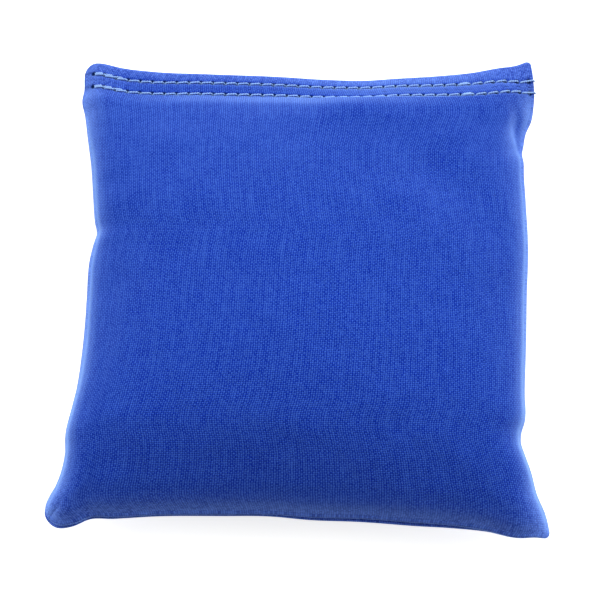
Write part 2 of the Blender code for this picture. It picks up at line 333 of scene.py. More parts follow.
class StitchSizes(bpy.types.PropertyGroup):
    """Thread and stitches."""

    thread: length("Thread", 0.00062, "Thickness of the two-ply thread")
    lay: length("Lay", 0.0017, "Length in which the plies turn once")
    pitch: length("Stitch pitch", 0.00407, "Length of one stitch")
    row_spacing: length("Row spacing", 0.0048, "Distance between the two rows")
    row_start: length("Row start", 0.0028, "First needle hole's distance from the left end")
    hem_below: length("Hem below", 0.0004, "Flat hem between the inner row and the filled body")
    hole_radius: length("Hole radius", 0.00045, "Size of the dimple at a needle hole")
    hole_depth: length("Hole depth", 0.0006, "How far a stitch pulls the cloth in at its holes")
    groove_depth: length("Groove depth", 0.00028, "How far a row of stitches pulls the cloth in")
    slant: length("Slant", 0.00022, "How far each stitch runs across its row")
    seam_inset: length("Seam inset", 0.0022, "Side seam's distance from the folds")
    seam_corner: length("Seam corner", 0.007, "How much of each corner the side seam cuts off")
    seam_thread: length("Seam thread", 0.00036, "Thickness of the side seam's thread")
    steps: IntProperty(name="Steps", default=14, description="Mesh steps along one stitch")


class PelletSizes(bpy.types.PropertyGroup):
    """The loose fill."""

    width: length("Pellet", 0.0046, "Width of one pellet")
    height_share: number("Height", 0.8, "A pellet's height as a share of its width")
    packing: number("Packing", 1.08, "Spacing of the pellets as a share of their width")
    clearance: length("Clearance", 0.0004, "Air between the pellets and the canvas")


class Finish(bpy.types.PropertyGroup):
    """Colours, weave and gloss."""

    # Canvas colour with a painted highlight on the yarns' crowns, and with painted shade in the gaps
    # between them.
    highlit_crown_canvas: colour("Yarn crowns", (0.043, 0.124, 0.595), "Canvas colour on the yarns")
    shaded_gap_canvas: colour("Yarn gaps", (0.0, 0.018, 0.355), "Canvas colour between the yarns")
    # Painted sheen: a paler blue added to the canvas where it is seen edge on.
    painted_sheen: colour("Fuzz", (0.33, 0.54, 0.96), "What loose fibres add to the canvas seen edge on")
    # Painted shade in the needle holes and along the rows' grooves.
    painted_stitch_shade: colour("Needle holes", (0.004, 0.018, 0.11), "Colour in the needle holes")
    thread: colour("Thread", (0.45, 0.665, 1.0), "Colour of the thread")
    thread_shade: colour("Thread shade", (0.29, 0.50, 1.0), "Colour between the thread's fibres")
    pellet: colour("Pellets", (0.80, 0.76, 0.66), "Colour of the palest pellets")
    pellet_shade: colour("Pellet shade", (0.62, 0.55, 0.42), "Colour of the darkest pellets")
    # Pale of rubbing along the folds, and painted sheen where the foot, the mouth's fold and the corners
    # turn edge on.
    rubbing_and_sheen: colour("Wear", (0.055, 0.085, 0.18), "What rubbing adds to the canvas along its folds")
    rubbing_and_sheen_width: length("Wear width", 0.0032, "How far the wear reaches from a side's fold")
    # At the foot this band is mostly painted sheen, where the cloth turns under.
    foot_rubbing_and_sheen_width: length("Foot wear width", 0.0105, "How far the wear reaches from the foot's fold")
    hem_rubbing_and_sheen_width: length("Hem wear width", 0.0052, "How far the wear reaches from the mouth's fold")
    corner_rubbing_and_sheen_width: length("Corner wear width", 0.034, "How far the wear reaches from a corner")
    # How close to edge on the painted sheen shows.
    painted_sheen_falloff: number("Fuzz falloff", 2.4, "How close to edge on the fuzz shows")
    sheen: number("Sheen", 1, "Strength of the sheen of canvas and thread")
    sheen_roughness: number("Sheen roughness", 0.3, "Spread of that sheen")
    sheen_tint: colour("Sheen tint", (0.35, 0.6, 1), "Colour of that sheen")
    roughness: number("Roughness", 0.8, "Roughness of the canvas")
    specular: number("Specular", 0.02, "Strength of the canvas's gloss")
    thread_roughness: number("Thread roughness", 0.5, "Roughness of the thread")
    thread_specular: number("Thread specular", 0.08, "Strength of the thread's gloss")
    weave_relief: length("Weave relief", 0.00012, "Height of the yarns")
    weave_contrast: number("Weave contrast", 2.15, "Contrast between the yarns")
    warp_pitch: length("Warp pitch", 0.00069, "Spacing of the yarns across")
    weft_pitch: length("Weft pitch", 0.00055, "Spacing of the yarns along")


def smooth_through(place, pairs):
    """Values at many places on a smooth curve through chosen points."""
    places, values = np.array(pairs, float).T
    slopes = np.gradient(values, places)
    i = np.clip(np.searchsorted(places, place) - 1, 0, len(places) - 2)
    span = places[i + 1] - places[i]
    t = np.clip((place - places[i]) / span, 0, 1)
    start = (2 * t**3 - 3 * t**2 + 1) * values[i] + (t**3 - 2 * t**2 + t) * span * slopes[i]
    end = (3 * t**2 - 2 * t**3) * values[i + 1] + (t**3 - t**2) * span * slopes[i + 1]
    return start + end


def rounded(u, v):
    """Places on the cloth, moved so that the square's corners are as round as they turned out."""
    u, v = u.copy(), v.copy()
    for (corner_u, corner_v), roundness in CORNER_ROUNDNESS.items():
        a = (corner_u * u - 1) / roundness + 1
        b = (corner_v * v - 1) / roundness + 1
        inside = (a > 0) & (b > 0)
        shrink = np.where(inside, np.maximum(a, b) / np.maximum(np.hypot(a, b), TINY), 1)
        u = np.where(inside, corner_u * (1 + roundness * (a * shrink - 1)), u)
        v = np.where(inside, corner_v * (1 + roundness * (b * shrink - 1)), v)
    return u, v


class Shape:
    """Where each point of the flat cloth lies once the bag is sewn and filled. A place on the cloth is
    (u, v): u from -1 at the left fold to 1 at the right one, v from -1 at the foot to 1 at the mouth."""

    def __init__(self, scene):
        self.bag = scene.bean_bag
        self.cloth = scene.bean_bag_cloth
        self.stitch = scene.bean_bag_stitches
        self.flap_face = self.cloth.panel_gap / 2
        self.body_face = self.flap_face + 2 * self.cloth.cloth + self.cloth.layer_gap
        self.turn_radius = (self.body_face - self.flap_face) / 2
        self.half = self.bag.side / 2 - self.turn_radius

    def row_inset(self, u, row):
        """A stitch row's distance from the mouth's edge: row 0 is the outer one and 1 the inner one."""
        spacing = self.stitch.row_spacing * smooth_through(u, ROW_SPACING_ALONG_HEM)
        return smooth_through(u, OUTER_ROW) + row * spacing

    def hem_base(self, u):
        """Place along the bag where the flat hem ends and the filled body begins."""
        return 1 - (self.row_inset(u, 1) + self.stitch.hem_below) / self.half

    def middle(self, u, v, facing=0):
        """Points midway between the panels. A facing of -1 takes the back's own, wider outline."""
        bag = self.bag
        u, v = rounded(u, v)
        peek_left = smooth_through(v, BACK_PEEK_LEFT) if facing < 0 else 0
        peek_foot = smooth_through(u, BACK_PEEK_FOOT) if facing < 0 else 0
        left = -self.half + bag.side * (smooth_through(v, LEFT_SEAM) - peek_left)
        right = self.half - bag.side * smooth_through(v, RIGHT_SEAM)
        foot = -self.half + bag.side * (smooth_through(u, FOOT_SEAM) - peek_foot)
        mouth = self.half - bag.side * smooth_through(u, MOUTH_EDGE)
        base = self.hem_base(u)
        ramp = np.minimum(((v + 1) / (base + 1)) ** LIFT_POWER, (1 - v) / (1 - base))
        outer = np.clip((np.abs(u) - 1) / bag.droop_share + 1, 0, 1)
        sagging = np.where(u > 0, smooth_through(v, RIGHT_DROOP), smooth_through(v, LEFT_DROOP))
        droop = bag.corner_droop * outer**2 * sagging
        return np.stack([
            left + (right - left) * (1 + u) / 2,
            foot + (mouth - foot) * (1 + v) / 2,
            bag.seam_height + bag.mouth_rise * smooth_through(u, MOUTH_LIFT) * ramp - droop,
        ], axis=-1)

    def place_under(self, x, y):
        """Place on the cloth over a point of the floor, found step by step."""
        u, v = x / self.half, y / self.half
        for _ in range(PLACING_ROUNDS):
            u, v = np.clip(u, -1, 1), np.clip(v, -1, 1)
            reached = self.middle(u, v)
            u, v = u + (x - reached[:, 0]) / self.half, v + (y - reached[:, 1]) / self.half
        return u, v

    def bulge(self, facing, u, v):
        """How far the fill pushes a panel away from the middle. It leaves the hem and empty corners."""
        along = np.clip(2 * (v + 1) / (self.hem_base(u) + 1) - 1, -1, 1)
        if facing > 0:
            ear = np.where(u > 0, smooth_through(v, RIGHT_EAR), smooth_through(v, LEFT_EAR))
            across = np.clip(u / (1 - ear), -1, 1)
            fullness = np.where(u > 0, smooth_through(v, RIGHT_FULLNESS), smooth_through(v, LEFT_FULLNESS))
            across = np.clip(smooth_through(across, CROWN_ACROSS), 0, 1) ** fullness
            along = smooth_through(along, CROWN_ALONG) - u * u * smooth_through(along, LOWER_BY_HEM)
            return self.bag.front_rise * across * along + self.creased(u, v) + self.overhang(u, v)
        power = self.bag.back_fullness
        return self.bag.back_drop * (1 - np.abs(u) ** power) * (1 - np.abs(along) ** power)

    def overhang(self, u, v):
        """Height of the front's shoulder right beside the hem, where the fill presses against the seam."""
        from_hem = np.maximum(self.hem_base(u) - v, 0) * self.half
        rising = np.clip(from_hem / self.bag.overhang_start, 0, 1)
        falling = np.exp(-((from_hem / self.bag.overhang_reach) ** 2))
        return self.bag.overhang * smooth_through(u, OVERHANG_ALONG_HEM) * rising * falling

    def creased(self, u, v):
        """Height that creases and the valley add to the front."""
        from_middle = (u - VALLEY_MIDDLE[0]) + 1j * (v - VALLEY_MIDDLE[1])
        off_valley = (np.abs(from_middle) - VALLEY_RADIUS) / VALLEY_WIDTH
        off_way = np.angle(from_middle * np.exp(-1j * VALLEY_WAY)) / VALLEY_SPREAD
        height = -self.bag.valley_depth * np.exp(-(off_valley**2) - off_way**2)
        for at_u, at_v, way, half_length, half_width, lift in CREASES:
            off = ((u - at_u) + 1j * (v - at_v)) * np.exp(-1j * way)
            height = height + lift * np.exp(-((off.real / half_length) ** 2) - (off.imag / half_width) ** 2)
        return height

    def stitched_in(self, u, v):
        """How far the stitches pull the hem in: a groove along each row, a dimple at each needle hole."""
        stitch = self.stitch
        depth = np.zeros_like(u)
        phase = ((u + 1) * self.half - stitch.row_start) / stitch.pitch
        from_hole = (phase - np.round(phase)) * stitch.pitch
        sewn = np.clip(phase + 1, 0, 1)
        for row in (0, 1):
            off_row = (1 - v) * self.half - self.row_inset(u, row)
            groove = np.exp(-((off_row / (GROOVE_WIDTH_SHARE * stitch.hole_radius)) ** 2))
            hole = np.exp(-(off_row**2 + from_hole**2) / stitch.hole_radius**2)
            depth += sewn * (stitch.groove_depth * groove + stitch.hole_depth * hole)
        return depth

    def panel(self, facing, u, v, stitched=True):
        """Points on the outer face of the front (1) or the back (-1) panel, inside its folds."""
        points = self.middle(u, v, facing)
        lift = self.body_face + self.bulge(facing, u, v)
        if stitched:
            lift = lift - self.stitched_in(u, v)
        points[:, 2] = soft_floor(points[:, 2] + facing * lift)
        return points

    def normals(self, facing, u, v):
        """Outward directions of the panel's outer face, stitches left out."""
        def face(at_u, at_v):
            return self.panel(facing, np.clip(at_u, -1, 1), np.clip(at_v, -1, 1), stitched=False)

        across = face(u + NORMAL_STEP_SHARE, v) - face(u - NORMAL_STEP_SHARE, v)
        along = face(u, v + NORMAL_STEP_SHARE) - face(u, v - NORMAL_STEP_SHARE)
        found = facing * np.cross(across, along)
        return found / np.linalg.norm(found, axis=1)[:, None]


def soft_floor(height):
    """Heights kept over the floor, with a soft turn where the bag starts to rest on it."""
    return (height + np.sqrt(height**2 + FLOOR_TURN**2)) / 2


def new_mesh_object(name, points, faces):
    mesh = bpy.data.meshes.new(name)
    mesh.from_pydata(points.tolist(), [], faces)
    made = bpy.data.objects.new(name, mesh)
    bpy.context.scene.collection.objects.link(made)
    return made


def make_active(piece):
    """Selects one object alone and makes it active."""
    bpy.ops.object.select_all(action="DESELECT")
    piece.select_set(True)
    bpy.context.view_layer.objects.active = piece


def spaced(*legs):
    """Stations along a line, from its start and then legs of (where it ends, spacing)."""
    found = [np.array([legs[0]])]
    start = legs[0]
    for end, pitch in legs[1:]:
        steps = max(round((end - start) / pitch), 1)
        found.append(np.linspace(start, end, steps + 1)[1:])
        start = end
    return np.concatenate(found)


def cloth_grid(shape):
    """Places (u, v) of the panel's points, row by row. One row follows the base of the hem."""
    half = shape.half
    cloth = shape.cloth
    fine = cloth.fine_pitch
    across = spaced(
        -half, (FINE_BORDER - half, fine), (half - FINE_BORDER, cloth.pitch_across), (half, fine),
    )
    hem = half * shape.hem_base(np.zeros(1))[0]
    along = spaced(
        -half,
        (FINE_BORDER - half, fine),
        (hem - 3 * FINE_BORDER, cloth.pitch_along),
        (hem - FINE_BORDER, 2 * fine),
        (half, fine),
    )
    u, s = np.meshgrid(across / half, along / half)
    base = shape.hem_base(u.ravel()).reshape(u.shape)
    middle_base = hem / half
    below = -1 + (s + 1) * (base + 1) / (middle_base + 1)
    above = 1 - (1 - s) * (1 - base) / (1 - middle_base)
    v = np.where(s < middle_base, below, above)
    return u, v


def folded_edge(shape, facing, places):
    """Rings of points that lead a panel's rim round its fold and back inside along the allowance, and for
    each the run of cloth to it from the rim. The first ring is the rim itself."""
    u, v = places.T
    seam = shape.middle(u, v, facing)
    tangent = np.roll(seam, -1, axis=0) - np.roll(seam, 1, axis=0)
    outward = np.stack([tangent[:, 1], -tangent[:, 0]], axis=-1)
    outward /= np.linalg.norm(outward, axis=1)[:, None]
    up = shape.normals(facing, u, v)
    lean = np.arctan2((up[:, :2] * outward).sum(axis=1), np.abs(up[:, 2]))
    lean = np.clip(lean, 0, shape.cloth.steepest_lean)[:, None]
    rings = []
    runs = []
    for step in range(TURN_STEPS + 1):
        angle = lean + (math.pi - lean) * step / TURN_STEPS
        ring = seam.copy()
        ring[:, :2] += shape.turn_radius * np.sin(angle) * outward
        ring[:, 2] += facing * (shape.flap_face + shape.turn_radius * (1 + np.cos(angle[:, 0])))
        rings.append(ring)
        runs.append(shape.turn_radius * angle)
    for share in ALLOWANCE_SHARES:
        depth = share * shape.cloth.allowance
        inner_u, inner_v = (places * (1 - depth / shape.half)).T
        ring = shape.middle(inner_u, inner_v, facing)
        ring[:, 2] += facing * shape.flap_face
        rings.append(ring)
        runs.append(shape.turn_radius * math.pi + depth)
    return rings, runs


def build_panel(name, shape, facing):
    """One panel: a grid of cloth whose rim is folded over and laid back inside as an allowance."""
    grid_u, grid_v = cloth_grid(shape)
    flat = np.stack([grid_u.ravel(), grid_v.ravel()], axis=-1)
    body = shape.panel(facing, flat[:, 0], flat[:, 1])
    if facing > 0:
        body += fill_lumps(shape, flat)
    unstitched = shape.panel(facing, flat[:, 0], flat[:, 1], stitched=False)
    on_cloth = cloth_places(unstitched.reshape(*grid_u.shape, 3)) * shape.half
    index = np.arange(grid_u.size).reshape(grid_u.shape)
    corners = np.stack([index[:-1, :-1], index[:-1, 1:], index[1:, 1:], index[1:, :-1]], axis=-1)
    faces = corners.reshape(-1, 4).tolist()
    rim = np.concatenate([index[0, :-1], index[:-1, -1], index[-1, :0:-1], index[:0:-1, 0]])
    rings, runs = folded_edge(shape, facing, flat[rim])
    body[rim] = rings[0]

    points = [body]
    cloth_found = [on_cloth]
    row_found = [flat * shape.half]
    flat_out = np.sign(np.where(np.abs(flat[rim]) > 1 - TINY, flat[rim], 0))
    before = rim
    for step, (ring, run) in enumerate(zip(rings[1:], runs[1:])):
        points.append(ring)
        cloth_found.append(on_cloth[rim] + flat_out * run)
        row_found.append(flat[rim] * shape.half + flat_out * run)
        before = add_ring(faces, before, index.size + step * len(rim))

    panel = new_mesh_object(name, np.concatenate(points), faces)
    if facing < 0:
        panel.data.flip_normals()
    add_corner_map(panel, "cloth", np.concatenate(cloth_found) / CLOTH_MAP_SPAN + MIDDLE)
    add_corner_map(panel, "rows", row_places(shape, np.concatenate(row_found)))
    make_active(panel)
    wall = panel.modifiers.new("Cloth thickness", "SOLIDIFY")
    wall.thickness = shape.cloth.cloth
    wall.offset = -1
    bpy.ops.object.modifier_apply(modifier=wall.name)
    bpy.ops.object.shade_smooth()
    return panel


def fill_lumps(shape, flat):
    """Small unevenness of a cloth that lies over loose fill, none at the hem or at the seams."""
    u, v = flat.T
    inside = np.clip((shape.hem_base(u) - v) / LUMPS_FROM_HEM_SHARE, 0, 1)
    for from_seam in (1 - np.abs(u), v + 1):
        inside *= np.clip(from_seam / LUMPS_FROM_SEAM_SHARE, 0, 1)
    lumps = 0
    for share, count, layer in ((1, LUMPS, 0), (FINE_LUMPS_SHARE, FINE_LUMPS, FINE_LUMPS_LAYER)):
        lumps = lumps + share * np.array([noise.noise(Vector((*place, layer))) for place in flat * count])
    lift = np.zeros((len(flat), 3))
    lift[:, 2] = LUMP_HEIGHT * lumps * inside
    return lift


def cloth_places(grid):
    """Each point's place on the flat cloth, from -1 to 1, by how far it lies along its row and column."""
    found = []
    for axis in (1, 0):
        steps = np.linalg.norm(np.diff(grid, axis=axis), axis=2)
        run = np.insert(np.cumsum(steps, axis=axis), 0, 0, axis=axis)
        found.append(2 * run / run.take([-1], axis=axis) - 1)
    return np.stack([places.ravel() for places in found], axis=-1)


def row_places(shape, places):
    """Places counted in stitches along the rows, and in stitch lengths away from the nearest row."""
    stitch = shape.stitch
    u = np.clip(places[:, 0] / shape.half, -1, 1)
    phase = (places[:, 0] + shape.half - stitch.row_start) / stitch.pitch
    from_edge = shape.half - places[:, 1]
    outer = from_edge - shape.row_inset(u, 0)
    v = np.clip(places[:, 1] / shape.half, -1, 1)
    inner = from_edge - shape.row_inset(u, 1) + shape.overhang(u, v)
    nearest = np.where(np.abs(outer) < np.abs(inner), outer, inner)
    return np.stack([phase, nearest / stitch.pitch], axis=-1)


def add_ring(faces, ring_before, start):
    """Joins a new ring of points, numbered from start, to the ring before it."""
    count = len(ring_before)
    ring = np.arange(start, start + count)
    following = np.roll(ring, -1)
    before_following = np.roll(ring_before, -1)
    faces += np.stack([ring_before, ring, following, before_following], axis=-1).tolist()
    return ring


def add_corner_map(piece, name, places):
    """UV map from one place for each point of a mesh."""
    mesh = piece.data
    corner_points = np.zeros(len(mesh.loops), int)
    mesh.loops.foreach_get("vertex_index", corner_points)
    layer = mesh.uv_layers.new(name=name)
    layer.data.foreach_set("uv", places[corner_points].astype(np.float32).ravel())


def two_ply(name, line, upward, thickness, lay):
    """Thread along a line: two strands, each a closed tube, turning round each other."""
    line = np.array(line)
    upward = np.array(upward)
    forward = np.gradient(line, axis=0)
    forward /= np.linalg.norm(forward, axis=1)[:, None]
    sideways = np.cross(forward, upward)
    sideways /= np.linalg.norm(sideways, axis=1)[:, None]
    upward = np.cross(sideways, forward)
    run = np.concatenate([[0], np.cumsum(np.linalg.norm(np.diff(line, axis=0), axis=1))])
    strand = STRAND_RADIUS_SHARE * thickness
    off_middle = STRAND_OFF_MIDDLE_SHARE * thickness
    points = []
    faces = []
    for ply in (0, 1):
        turn = 2 * math.pi * run / lay + ply * math.pi
        middle = line + off_middle * (np.cos(turn)[:, None] * upward + np.sin(turn)[:, None] * sideways)
        first = len(points) * len(line) * STRAND_SIDES
        angles = 2 * math.pi * np.arange(STRAND_SIDES) / STRAND_SIDES
        over = np.cos(angles)[None, :, None] * upward[:, None]
        beside = np.sin(angles)[None, :, None] * sideways[:, None]
        points.append((middle[:, None] + strand * (over + beside)).reshape(-1, 3))
        index = first + np.arange(len(line) * STRAND_SIDES).reshape(len(line), STRAND_SIDES)
        following = np.roll(index, -1, axis=1)
        walls = np.stack([index[:-1], index[1:], following[1:], following[:-1]], axis=-1)
        faces += walls.reshape(-1, 4).tolist()
        faces += [index[0].tolist(), index[-1, ::-1].tolist()]
    thread = new_mesh_object(name, np.concatenate(points), faces)
    make_active(thread)
    bpy.ops.object.mode_set(mode="EDIT")
    bpy.ops.mesh.select_all(action="SELECT")
    bpy.ops.mesh.normals_make_consistent(inside=False)
    bpy.ops.object.mode_set(mode="OBJECT")
    bpy.ops.object.shade_smooth()
    return thread


def row_of_stitches(shape, facing, row):
    """Line of one thread along one row: over the cloth from hole to hole, down into each hole and up
    again, and round the right fold at the end."""
    stitch = shape.stitch
    last = (2 * shape.half - stitch.row_start) / stitch.pitch
    resumed = np.arange(BACKTACK_RIGHT[-1] + 1, last - SHORTEST_STITCH_SHARE)
    holes = [*BACKTACK_LEFT, *PLAIN_HOLES, *BACKTACK_RIGHT, *resumed, last]
    share = np.linspace(0, 1, stitch.steps + 1)
    line = []
    upward = []
    oversewn = 0
    for hole, following in zip(holes, holes[1:]):
        way = -1 if following < hole else 1
        oversewn = oversewn + 1 if way < 0 else max(oversewn - OVERSEWN_LOSS_SHARE, 0)
        aside = OVERSEWN_ASIDE * way * min(oversewn, 1)
        phase = hole + (following - hole) * share
        u = -1 + (stitch.row_start + phase * stitch.pitch) / shape.half
        leaning = stitch.slant * (1 - 2 * share) * way
        v = 1 - (shape.row_inset(u, row) + leaning + aside) / shape.half
        up = shape.normals(facing, u, v)
        risen = np.clip(np.minimum(share, 1 - share) / OUT_OF_HOLE_SHARE, 0, 1)
        out_of_hole = np.sin(risen * math.pi / 2)
        if following == last:
            out_of_hole[share > MIDDLE] = 1
        rest = THREAD_HEIGHT_SHARE * stitch.thread - SUNK_SHARE * stitch.groove_depth
        rest += OVERSEWN_RISE_SHARE * stitch.thread * min(oversewn, 1)
        height = rest * out_of_hole - DIMPLES_DEEP * stitch.hole_depth * (1 - out_of_hole)
        line += list(shape.panel(facing, u, v, stitched=False) + height[:, None] * up)
        upward += list(up)
    seam = shape.middle(np.ones(1), v[-1:], facing)[0]
    seam[2] += facing * (shape.flap_face + shape.turn_radius)
    for angle in ROUND_FOLD:
        up = np.array([math.sin(angle), 0, facing * math.cos(angle)])
        line.append(seam + (shape.turn_radius + THREAD_HEIGHT_SHARE * stitch.thread) * up)
        upward.append(up)
    return line, upward


def seam_of_stitches(shape, facing):
    """Line of one thread of the side seam: down the left side, along the foot and up the right side, on
    the turned-in edge of one panel."""
    stitch = shape.stitch
    reach = 1 - stitch.seam_inset / shape.half
    top = 1 - shape.cloth.allowance / shape.half
    cut = stitch.seam_corner / shape.half
    route = np.array([
        (-reach, top), (-reach, cut - reach), (cut - reach, -reach),
        (reach - cut, -reach), (reach, cut - reach), (reach, top),
    ])
    legs = np.linalg.norm(np.diff(route, axis=0), axis=1) * shape.half
    run = np.concatenate([[0], np.cumsum(legs)])
    steps = round(run[-1] / stitch.pitch) * stitch.steps
    at = np.linspace(0, run[-1], steps + 1)
    line = shape.middle(np.interp(at, run, route[:, 0]), np.interp(at, run, route[:, 1]), facing)
    dip = np.cos(2 * math.pi * np.arange(steps + 1) / stitch.steps) ** SEAM_DIP_POWER
    over_flap = shape.flap_face + shape.cloth.cloth + stitch.seam_thread / 2
    line[:, 2] += facing * (over_flap - SEAM_DIP_SHARE * stitch.seam_thread * dip)
    upward = np.tile((0.0, 0.0, float(facing)), (len(line), 1))
    return line, upward


def pellet_places(shape, pellets):
    """Middles of the pellets: close-packed layers, clear of both panels and of their turned-in edges."""
    radius = pellets.width / 2
    spacing = pellets.width * pellets.packing
    rise = spacing * pellets.height_share * math.sqrt(2 / 3)
    clear = radius * pellets.height_share + shape.cloth.cloth + pellets.clearance
    columns = np.arange(-shape.half, shape.half, spacing)
    rows = np.arange(-shape.half, shape.half, spacing * math.sqrt(3) / 2)
    x, y = np.meshgrid(columns, rows)
    x[1::2] += spacing / 2
    highest = shape.bag.seam_height + shape.bag.front_rise + shape.bag.mouth_rise
    rng = np.random.default_rng(PLACE_SEED)
    places = []
    for layer, z in enumerate(np.arange(clear, highest, rise)):
        at_x = (x + (layer % 2) * spacing / 2).ravel()
        at_y = (y + (layer % 2) * spacing / math.sqrt(12)).ravel()
        fits = np.full(at_x.shape, True)
        for off_x, off_y in ((0, 0), (1, 0), (-1, 0), (0, 1), (0, -1)):
            u, v = shape.place_under(at_x + off_x * radius, at_y + off_y * radius)
            past_hem = v + 1 - shape.hem_base(np.clip(u, -1, 1))
            edge = 1 - np.maximum(np.abs(u), np.maximum(-v, past_hem))
            u, v = np.clip(u, -1, 1), np.clip(v, -1, 1)
            front = shape.panel(1, u, v, stitched=False)[:, 2]
            back = shape.panel(-1, u, v, stitched=False)[:, 2]
            seam = shape.middle(u, v)[:, 2]
            beyond_flaps = edge > shape.cloth.allowance / shape.half
            off_flaps = beyond_flaps | (np.abs(z - seam) > clear + shape.flap_face)
            fits &= (edge > 0) & off_flaps & (front - z > clear) & (z - back > clear)
        layer_places = np.stack([at_x, at_y, np.full(at_x.shape, z)], axis=-1)[fits]
        places.append(layer_places + rng.uniform(-1, 1, layer_places.shape) * LOOSENESS_SHARE * spacing)
    return np.concatenate(places)


def build_pellets(name, shape, pellets):
    """The heap of loose pellets: one pellet is modelled and copied to every place, each copy turned."""
    bpy.ops.object.select_all(action="DESELECT")
    bpy.ops.mesh.primitive_ico_sphere_add(subdivisions=1, radius=pellets.width / 2)
    heap = bpy.context.active_object
    heap.name = name
    bpy.ops.object.mode_set(mode="EDIT")
    bpy.ops.transform.resize(value=(1, 1, pellets.height_share))
    bpy.ops.object.mode_set(mode="OBJECT")
    one = np.array([vertex.co[:] for vertex in heap.data.vertices])
    one_faces = np.array([face.vertices[:] for face in heap.data.polygons])
    places = pellet_places(shape, pellets)
    turns = np.random.default_rng(TURN_SEED).uniform(0, 2 * math.pi, len(places))
    cosine, sine = np.cos(turns)[:, None], np.sin(turns)[:, None]
    x = places[:, None, 0] + one[:, 0] * cosine - one[:, 1] * sine
    y = places[:, None, 1] + one[:, 0] * sine + one[:, 1] * cosine
    z = places[:, None, 2] + one[:, 2]
    points = np.stack([x, y, np.broadcast_to(z, x.shape)], axis=-1).reshape(-1, 3)
    faces = one_faces + len(one) * np.arange(len(places))[:, None, None]
    heap.data.clear_geometry()
    heap.data.from_pydata(points.tolist(), [], faces.reshape(-1, 3).tolist())
    make_active(heap)
    bpy.ops.object.shade_smooth()
    return heap


class Nodes:
    """Short ways to add and join shader nodes in one tree."""

    def __init__(self, tree):
        self.tree = tree

    def add(self, kind, **settings):
        node = self.tree.nodes.new(kind)
        for name, value in settings.items():
            setattr(node, name, value)
        return node

    def put(self, socket, value):
        if isinstance(value, bpy.types.NodeSocket):
            self.tree.links.new(value, socket)
        else:
            socket.default_value = value

    def math(self, operation, first, second=0.0, clamp=False):
        node = self.add("ShaderNodeMath", operation=operation, use_clamp=clamp)
        self.put(node.inputs[0], first)
        self.put(node.inputs[1], second)
        return node.outputs[0]

    def plus(self, first, second, clamp=False):
        return self.math("ADD", first, second, clamp)

    def minus(self, first, second, clamp=False):
        return self.math("SUBTRACT", first, second, clamp)

    def times(self, first, second, clamp=False):
        return self.math("MULTIPLY", first, second, clamp)

    def over(self, first, second, clamp=False):
        return self.math("DIVIDE", first, second, clamp)

    def larger(self, first, second):
        return self.math("MAXIMUM", first, second)

    def absolute(self, value):
        return self.math("ABSOLUTE", value)

    def mix(self, share, first, second, blend="MIX"):
        node = self.add("ShaderNodeMix", data_type="RGBA", blend_type=blend)
        for name, value in (("Factor_Float", share), ("A_Color", first), ("B_Color", second)):
            self.put(next(socket for socket in node.inputs if socket.identifier == name), value)
        return next(socket for socket in node.outputs if socket.identifier == "Result_Color")

    def split(self, place):
        """The two numbers of a place on a map."""
        node = self.add("ShaderNodeSeparateXYZ")
        self.put(node.inputs[0], place)
        return node.outputs["X"], node.outputs["Y"]

    def noise(self, place, scale, detail=2):
        node = self.add("ShaderNodeTexNoise")
        self.put(node.inputs["Vector"], place)
        node.inputs["Scale"].default_value = scale
        node.inputs["Detail"].default_value = detail
        return node.outputs["Fac"]


def plain_weave_group():
    """Plain weave: warp yarns along, weft yarns across, each over one and under the next."""
    group = bpy.data.node_groups.new("Plain weave", "ShaderNodeTree")
    group.interface.new_socket("Cloth Place", in_out="INPUT", socket_type="NodeSocketVector")
    for name in ("Warp Count", "Weft Count"):
        group.interface.new_socket(name, in_out="INPUT", socket_type="NodeSocketFloat")
    for name in ("Height", "Checker", "Slub", "Chance"):
        group.interface.new_socket(name, in_out="OUTPUT", socket_type="NodeSocketFloat")
    n = Nodes(group)
    given = n.add("NodeGroupInput").outputs
    x, y = n.split(given["Cloth Place"])
    drift = n.minus(n.noise(given["Cloth Place"], YARN_DRIFT_SCALE, YARN_DRIFT_DETAIL), MIDDLE)
    warp = n.plus(n.times(x, given["Warp Count"]), drift)
    weft = n.plus(n.times(y, given["Weft Count"]), drift)
    warp_wave = n.math("SINE", n.times(warp, math.pi))
    weft_wave = n.math("SINE", n.times(weft, math.pi))
    checker = n.times(warp_wave, weft_wave)
    warp_round = n.absolute(warp_wave)
    weft_round = n.absolute(weft_wave)
    highest = n.larger(n.plus(warp_round, checker), n.minus(weft_round, checker))

    cell = n.add("ShaderNodeCombineXYZ")
    n.put(cell.inputs["X"], n.math("FLOOR", warp))
    n.put(cell.inputs["Y"], n.math("FLOOR", weft))
    chance = n.add("ShaderNodeTexWhiteNoise", noise_dimensions="2D")
    n.put(chance.inputs["Vector"], cell.outputs[0])
    uneven = n.minus(chance.outputs["Value"], MIDDLE)
    stretch = n.add("ShaderNodeMapping")
    n.put(stretch.inputs["Vector"], given["Cloth Place"])
    stretch.inputs["Scale"].default_value = SLUB_STRETCH
    slub = n.noise(stretch.outputs[0], 1)
    warp_rib = n.times(n.minus(warp_round, MEAN_YARN), WARP_WEIGHT)
    weft_rib = n.times(n.minus(weft_round, MEAN_YARN), WEFT_WEIGHT)

    out = n.add("NodeGroupOutput").inputs
    n.put(out["Height"], n.over(highest, 2))
    # Checker: painted highlight and shade of the ribs and of the crossings, mixed into the canvas's colour.
    n.put(out["Checker"], n.plus(n.times(checker, CROSSING_WEIGHT), n.plus(warp_rib, weft_rib)))
    n.put(out["Slub"], n.plus(slub, n.times(uneven, UNEVEN_WEIGHT)))
    n.put(out["Chance"], chance.outputs["Value"])
    return group


